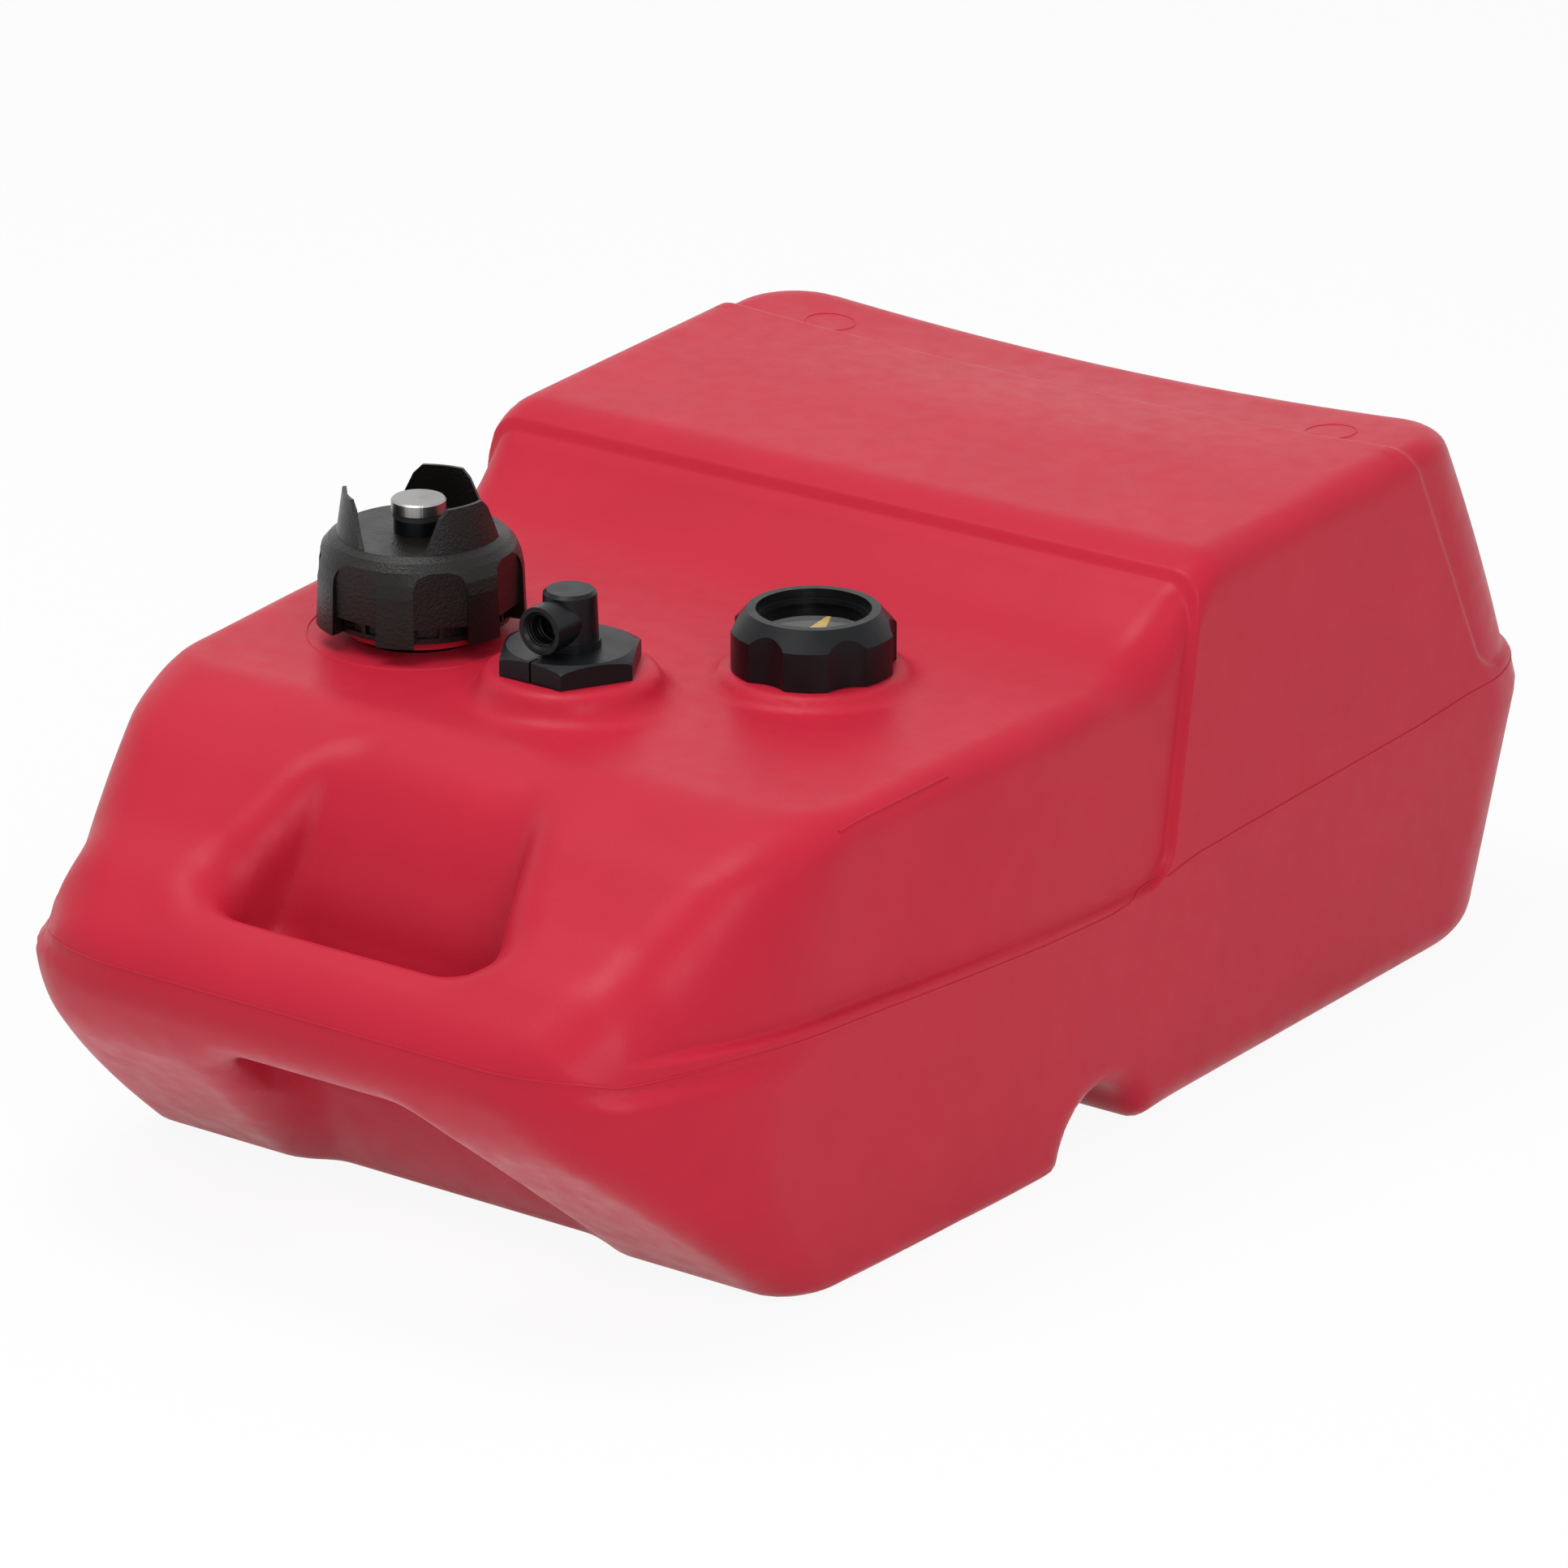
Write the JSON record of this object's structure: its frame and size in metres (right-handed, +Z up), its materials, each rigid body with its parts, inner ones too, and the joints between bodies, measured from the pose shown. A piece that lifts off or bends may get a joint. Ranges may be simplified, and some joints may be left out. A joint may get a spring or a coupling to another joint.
{
  "type": "outboard fuel tank",
  "caption": "Low portable fuel tank with a humped rear, a carrying slot in its nose, a vented screw cap, a swivelling fuel outlet elbow and a round float gauge.",
  "frame": {"origin": "centre of the tank's footprint box on the ground", "axes": "+X across to the right seen from the nose, +Y along the tank from the nose to the humped rear, +Z up"},
  "size_m": [0.3128, 0.56, 0.2225],
  "materials": {
    "red_polyethylene": "satin, fine moulded grain",
    "black_cap_plastic": "leather grain",
    "black_smooth_plastic": "satin",
    "seal_rubber": "matt",
    "vent_metal": "brushed",
    "pale_plastic": "satin",
    "clear_lens": "clear",
    "dial_face": "matt",
    "yellow_plastic": "satin",
    "strip_metal": "bare",
    "float_foam": "closed-cell foam"
  },
  "bodies": {
    "tank": {"tank_shell": "red_polyethylene", "outlet_gasket": "seal_rubber", "pickup_holder": "black_smooth_plastic", "pickup_tube": "pale_plastic", "pickup_strainer": "pale_plastic", "outlet_nut": "black_smooth_plastic", "gauge_gasket": "seal_rubber", "gauge_frame": "black_smooth_plastic", "gauge_foot": "black_smooth_plastic", "gauge_dial": "dial_face", "gauge_lens": "clear_lens", "gauge_ring": "black_smooth_plastic"},
    "cap_carrier": {"cap_gasket": "seal_rubber"},
    "filler_cap": {"cap_shell": "black_cap_plastic", "cap_insert": "black_cap_plastic", "vent_collar": "black_smooth_plastic"},
    "vent_carrier": {"vent_seal": "seal_rubber"},
    "vent_screw": {"vent_knob": "vent_metal", "vent_stem": "vent_metal"},
    "outlet": {"outlet_elbow": "black_smooth_plastic", "elbow_o_ring": "seal_rubber"},
    "float": {"gauge_float": "float_foam", "float_driver": "pale_plastic"},
    "pointer": {"gauge_pointer": "yellow_plastic", "twist_strip": "strip_metal"}
  },
  "joints": [
    {"name": "cap_rise", "type": "slide", "parent": "tank", "child": "cap_carrier", "axis": [0, 0, 1], "range_m": [0, 0.021]},
    {"name": "cap_turn", "type": "hinge", "parent": "cap_carrier", "child": "filler_cap", "pos_m": [-0.081, -0.103, 0.19], "axis": [0, 0, 1], "range_deg": [0, 1260]},
    {"name": "vent_rise", "type": "slide", "parent": "filler_cap", "child": "vent_carrier", "axis": [0, 0, 1], "range_m": [0, 0.0025]},
    {"name": "vent_turn", "type": "hinge", "parent": "vent_carrier", "child": "vent_screw", "pos_m": [-0.081, -0.103, 0.214], "axis": [0, 0, 1], "range_deg": [0, 720]},
    {"name": "outlet_swivel", "type": "hinge", "parent": "tank", "child": "outlet", "pos_m": [0, -0.123, 0.1975], "axis": [0, 0, 1], "range_deg": [-75, 75]},
    {"name": "float_rise", "type": "slide", "parent": "tank", "child": "float", "axis": [0, 0, 1], "range_m": [0, 0.112]},
    {"name": "pointer_turn", "type": "hinge", "parent": "tank", "child": "pointer", "pos_m": [0.06, -0.064, 0.186], "axis": [0, 0, -1], "range_deg": [0, 180]}
  ],
  "couplings": [
    {"joint": "cap_turn", "follows": "cap_rise", "rad_per_m": 1047.2},
    {"joint": "vent_turn", "follows": "vent_rise", "rad_per_m": 5026.5},
    {"joint": "pointer_turn", "follows": "float_rise", "rad_per_m": 28.05}
  ]
}
